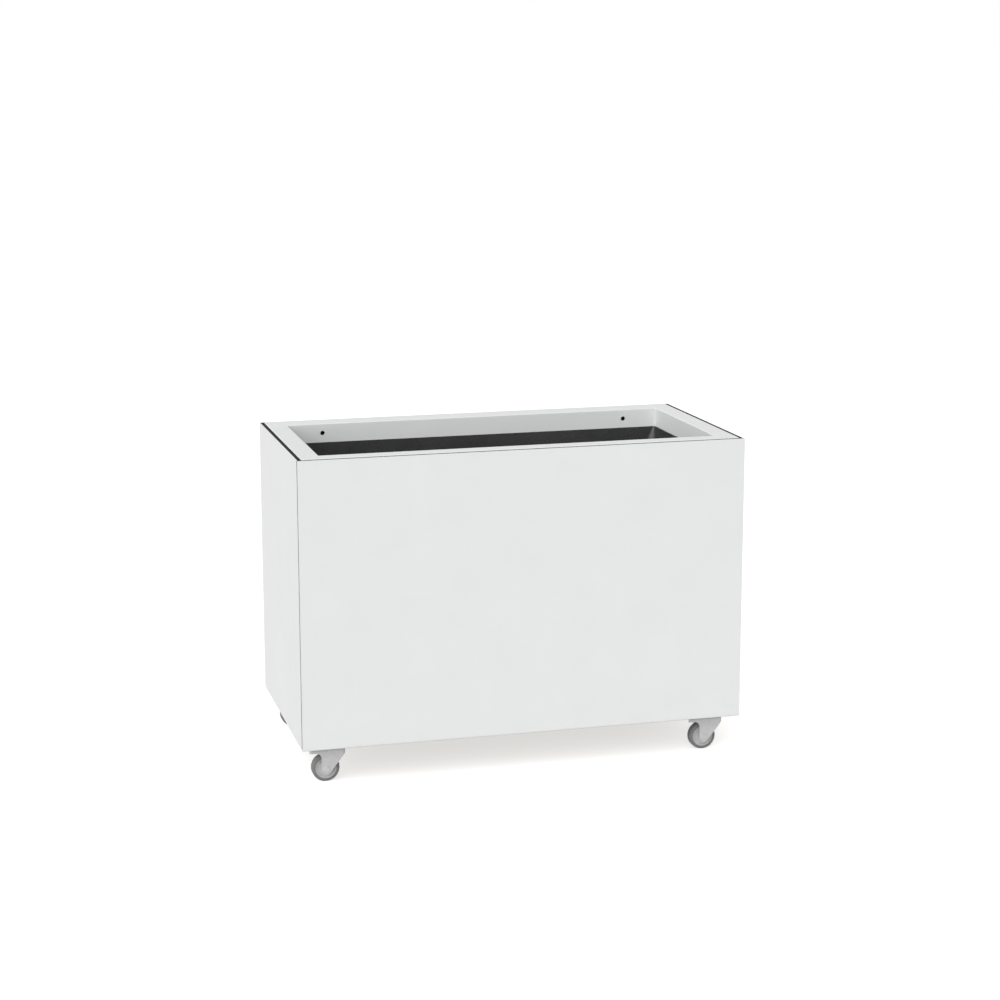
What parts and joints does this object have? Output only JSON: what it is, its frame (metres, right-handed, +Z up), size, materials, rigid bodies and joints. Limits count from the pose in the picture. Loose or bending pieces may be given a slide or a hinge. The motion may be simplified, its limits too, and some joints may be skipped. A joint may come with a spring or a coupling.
{
  "type": "planter room divider",
  "caption": "White sheet-steel planter box on swivel casters, with a flanged rim, dark shadow gaps and a lift-out black liner, used as a movable room divider.",
  "frame": {"origin": "on the floor under the middle of the box", "axes": "+X along the length to the right as seen from the front, +Y to the back, +Z up; the front faces -Y"},
  "size_m": [0.8, 0.4, 0.5773],
  "materials": {
    "white_lacquer": "satin white powder coat",
    "black_seal": "matt black rubber",
    "black_steel": "matt black powder coat",
    "black_liner": "fine grained black moulding",
    "zinc_steel": "bright zinc plating",
    "fork_steel": "satin grey zinc plating",
    "grey_tyre": "matt grey soft rubber",
    "grey_core": "moulded light grey"
  },
  "bodies": {
    "planter": {"front_panel": "white_lacquer", "back_panel": "white_lacquer", "left_end_panel": "white_lacquer", "right_end_panel": "white_lacquer", "rim_front_rail": "white_lacquer", "rim_back_rail": "white_lacquer", "rim_left_rail": "white_lacquer", "rim_right_rail": "white_lacquer", "shadow_gap_seal": "black_seal", "corner_seal_left": "black_seal", "corner_seal_right": "black_seal", "base_tray": "black_steel", "liner_stand_left": "black_steel", "liner_stand_right": "black_steel", "end_panel_screws": "zinc_steel", "caster_bolts": "zinc_steel", "caster_nuts": "zinc_steel", "corner_post_front_left": "black_steel", "caster_plate_front_left": "zinc_steel", "kingpin_front_left": "zinc_steel", "swivel_race_front_left": "zinc_steel", "corner_post_front_right": "black_steel", "caster_plate_front_right": "zinc_steel", "kingpin_front_right": "zinc_steel", "swivel_race_front_right": "zinc_steel", "corner_post_rear_left": "black_steel", "caster_plate_rear_left": "zinc_steel", "kingpin_rear_left": "zinc_steel", "swivel_race_rear_left": "zinc_steel", "corner_post_rear_right": "black_steel", "caster_plate_rear_right": "zinc_steel", "kingpin_rear_right": "zinc_steel", "swivel_race_rear_right": "zinc_steel"},
    "liner": {"liner": "black_liner"},
    "swivel_front_left": {"fork_front_left": "fork_steel", "axle_front_left": "fork_steel"},
    "wheel_front_left": {"tyre_front_left": "grey_tyre", "wheel_core_front_left": "grey_core", "wheel_bush_front_left": "zinc_steel"},
    "swivel_front_right": {"fork_front_right": "fork_steel", "axle_front_right": "fork_steel"},
    "wheel_front_right": {"tyre_front_right": "grey_tyre", "wheel_core_front_right": "grey_core", "wheel_bush_front_right": "zinc_steel"},
    "swivel_rear_left": {"fork_rear_left": "fork_steel", "axle_rear_left": "fork_steel"},
    "wheel_rear_left": {"tyre_rear_left": "grey_tyre", "wheel_core_rear_left": "grey_core", "wheel_bush_rear_left": "zinc_steel"},
    "swivel_rear_right": {"fork_rear_right": "fork_steel", "axle_rear_right": "fork_steel"},
    "wheel_rear_right": {"tyre_rear_right": "grey_tyre", "wheel_core_rear_right": "grey_core", "wheel_bush_rear_right": "zinc_steel"}
  },
  "joints": [
    {"name": "liner_lift", "type": "slide", "parent": "planter", "child": "liner", "axis": [0, 0, 1], "range_m": [0, 0.4]},
    {"name": "swivel_front_left", "type": "hinge", "parent": "planter", "child": "swivel_front_left", "pos_m": [-0.348, -0.162, 0.062], "axis": [0, 0, 1], "continuous": true},
    {"name": "wheel_front_left", "type": "hinge", "parent": "swivel_front_left", "child": "wheel_front_left", "pos_m": [-0.354, -0.162, 0.0245], "axis": [0, 1, 0], "continuous": true},
    {"name": "swivel_front_right", "type": "hinge", "parent": "planter", "child": "swivel_front_right", "pos_m": [0.348, -0.162, 0.062], "axis": [0, 0, 1], "continuous": true},
    {"name": "wheel_front_right", "type": "hinge", "parent": "swivel_front_right", "child": "wheel_front_right", "pos_m": [0.342, -0.162, 0.0245], "axis": [0, 1, 0], "continuous": true},
    {"name": "swivel_rear_left", "type": "hinge", "parent": "planter", "child": "swivel_rear_left", "pos_m": [-0.348, 0.162, 0.062], "axis": [0, 0, 1], "continuous": true},
    {"name": "wheel_rear_left", "type": "hinge", "parent": "swivel_rear_left", "child": "wheel_rear_left", "pos_m": [-0.354, 0.162, 0.0245], "axis": [0, 1, 0], "continuous": true},
    {"name": "swivel_rear_right", "type": "hinge", "parent": "planter", "child": "swivel_rear_right", "pos_m": [0.348, 0.162, 0.062], "axis": [0, 0, 1], "continuous": true},
    {"name": "wheel_rear_right", "type": "hinge", "parent": "swivel_rear_right", "child": "wheel_rear_right", "pos_m": [0.342, 0.162, 0.0245], "axis": [0, 1, 0], "continuous": true}
  ]
}
